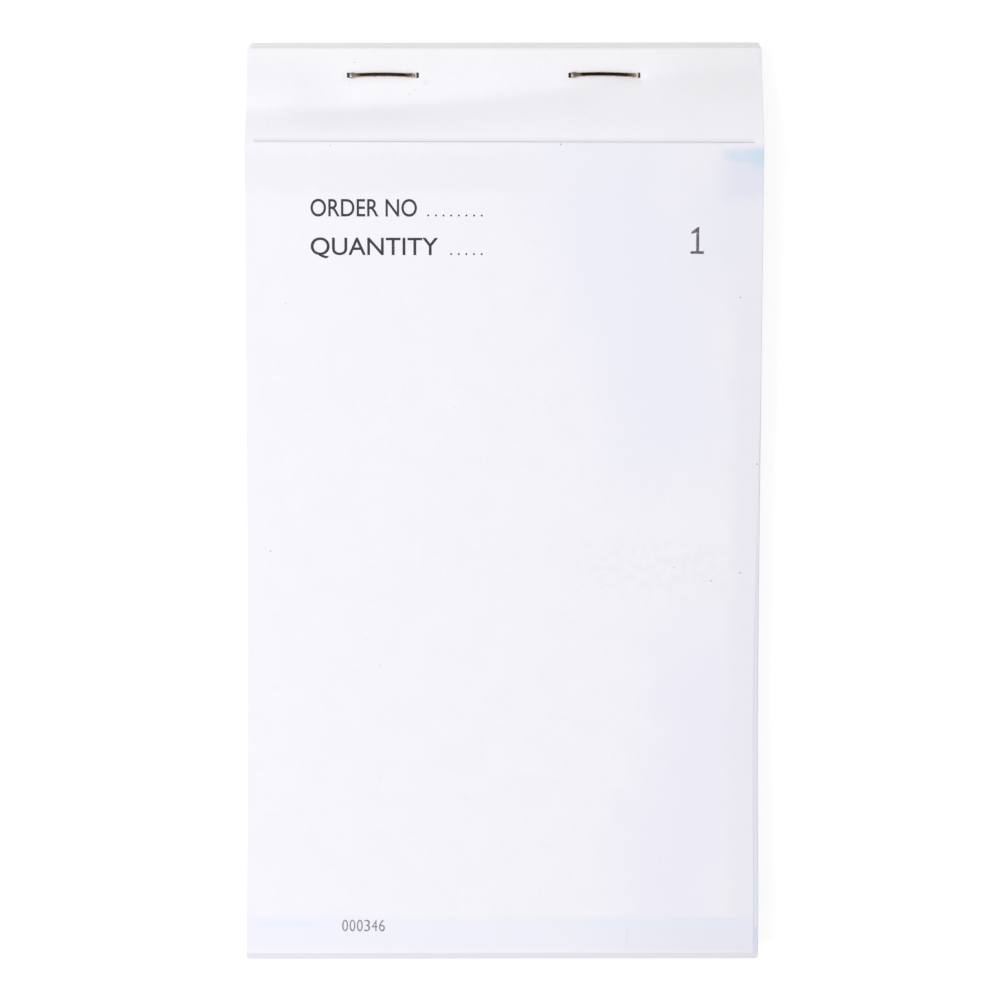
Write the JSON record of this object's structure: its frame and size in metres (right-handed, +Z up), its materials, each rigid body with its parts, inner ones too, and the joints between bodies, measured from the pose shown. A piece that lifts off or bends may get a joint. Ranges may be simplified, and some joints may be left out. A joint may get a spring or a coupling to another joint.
{
  "type": "carbonless order pad",
  "caption": "Portrait pad of carbonless order forms: perforated leaves that turn up and tear off below a short stub, wire stitched to a card back.",
  "frame": {"origin": "middle of the card back's footprint, on the surface that the pad lies on", "axes": "+X across the pad, +Y along its length towards the stitched end, +Z up out of the top sheet"},
  "size_m": [0.1, 0.1794, 0.0127],
  "materials": {
    "original_sheet": "matte",
    "copy_sheet": "matte",
    "board": "matte",
    "staple_wire": "satin",
    "print": "matte"
  },
  "bodies": {
    "pad_base": {"backing_board": "board", "staple_left": "staple_wire", "staple_right": "staple_wire", "form_1_original_stub": "original_sheet", "form_1_copy_stub": "copy_sheet", "form_2_original_stub": "original_sheet", "form_2_copy_stub": "copy_sheet", "form_3_original_stub": "original_sheet", "form_3_copy_stub": "copy_sheet", "form_4_original_stub": "original_sheet", "form_4_copy_stub": "copy_sheet", "form_5_original_stub": "original_sheet", "form_5_copy_stub": "copy_sheet", "bundle_1_stub": "copy_sheet", "bundle_2_stub": "copy_sheet", "bundle_3_stub": "copy_sheet"},
    "leaf_stack": {"bundle_1_leaf": "copy_sheet", "bundle_2_leaf": "copy_sheet", "bundle_3_leaf": "copy_sheet", "form_3_original_leaf": "original_sheet", "form_3_copy_leaf": "copy_sheet", "form_4_original_leaf": "original_sheet", "form_4_copy_leaf": "copy_sheet", "form_5_original_leaf": "original_sheet", "form_5_copy_leaf": "copy_sheet"},
    "second_form": {"form_2_original_leaf": "original_sheet", "form_2_copy_leaf": "copy_sheet"},
    "first_copy": {"form_1_copy_leaf": "copy_sheet"},
    "first_original": {"form_1_original_leaf": "original_sheet"}
  },
  "joints": [
    {"name": "leaf_stack_turn", "type": "hinge", "parent": "pad_base", "child": "leaf_stack", "pos_m": [0, 0.0693, 0.0127], "axis": [-1, 0, 0], "range_deg": [0, 15]},
    {"name": "second_form_turn", "type": "hinge", "parent": "leaf_stack", "child": "second_form", "pos_m": [0, 0.0693, 0.0127], "axis": [-1, 0, 0], "range_deg": [0, 20]},
    {"name": "first_copy_turn", "type": "hinge", "parent": "second_form", "child": "first_copy", "pos_m": [0, 0.0693, 0.0127], "axis": [-1, 0, 0], "range_deg": [0, 45]},
    {"name": "first_original_turn", "type": "hinge", "parent": "first_copy", "child": "first_original", "pos_m": [0, 0.0693, 0.0127], "axis": [-1, 0, 0], "range_deg": [0, 95]}
  ]
}
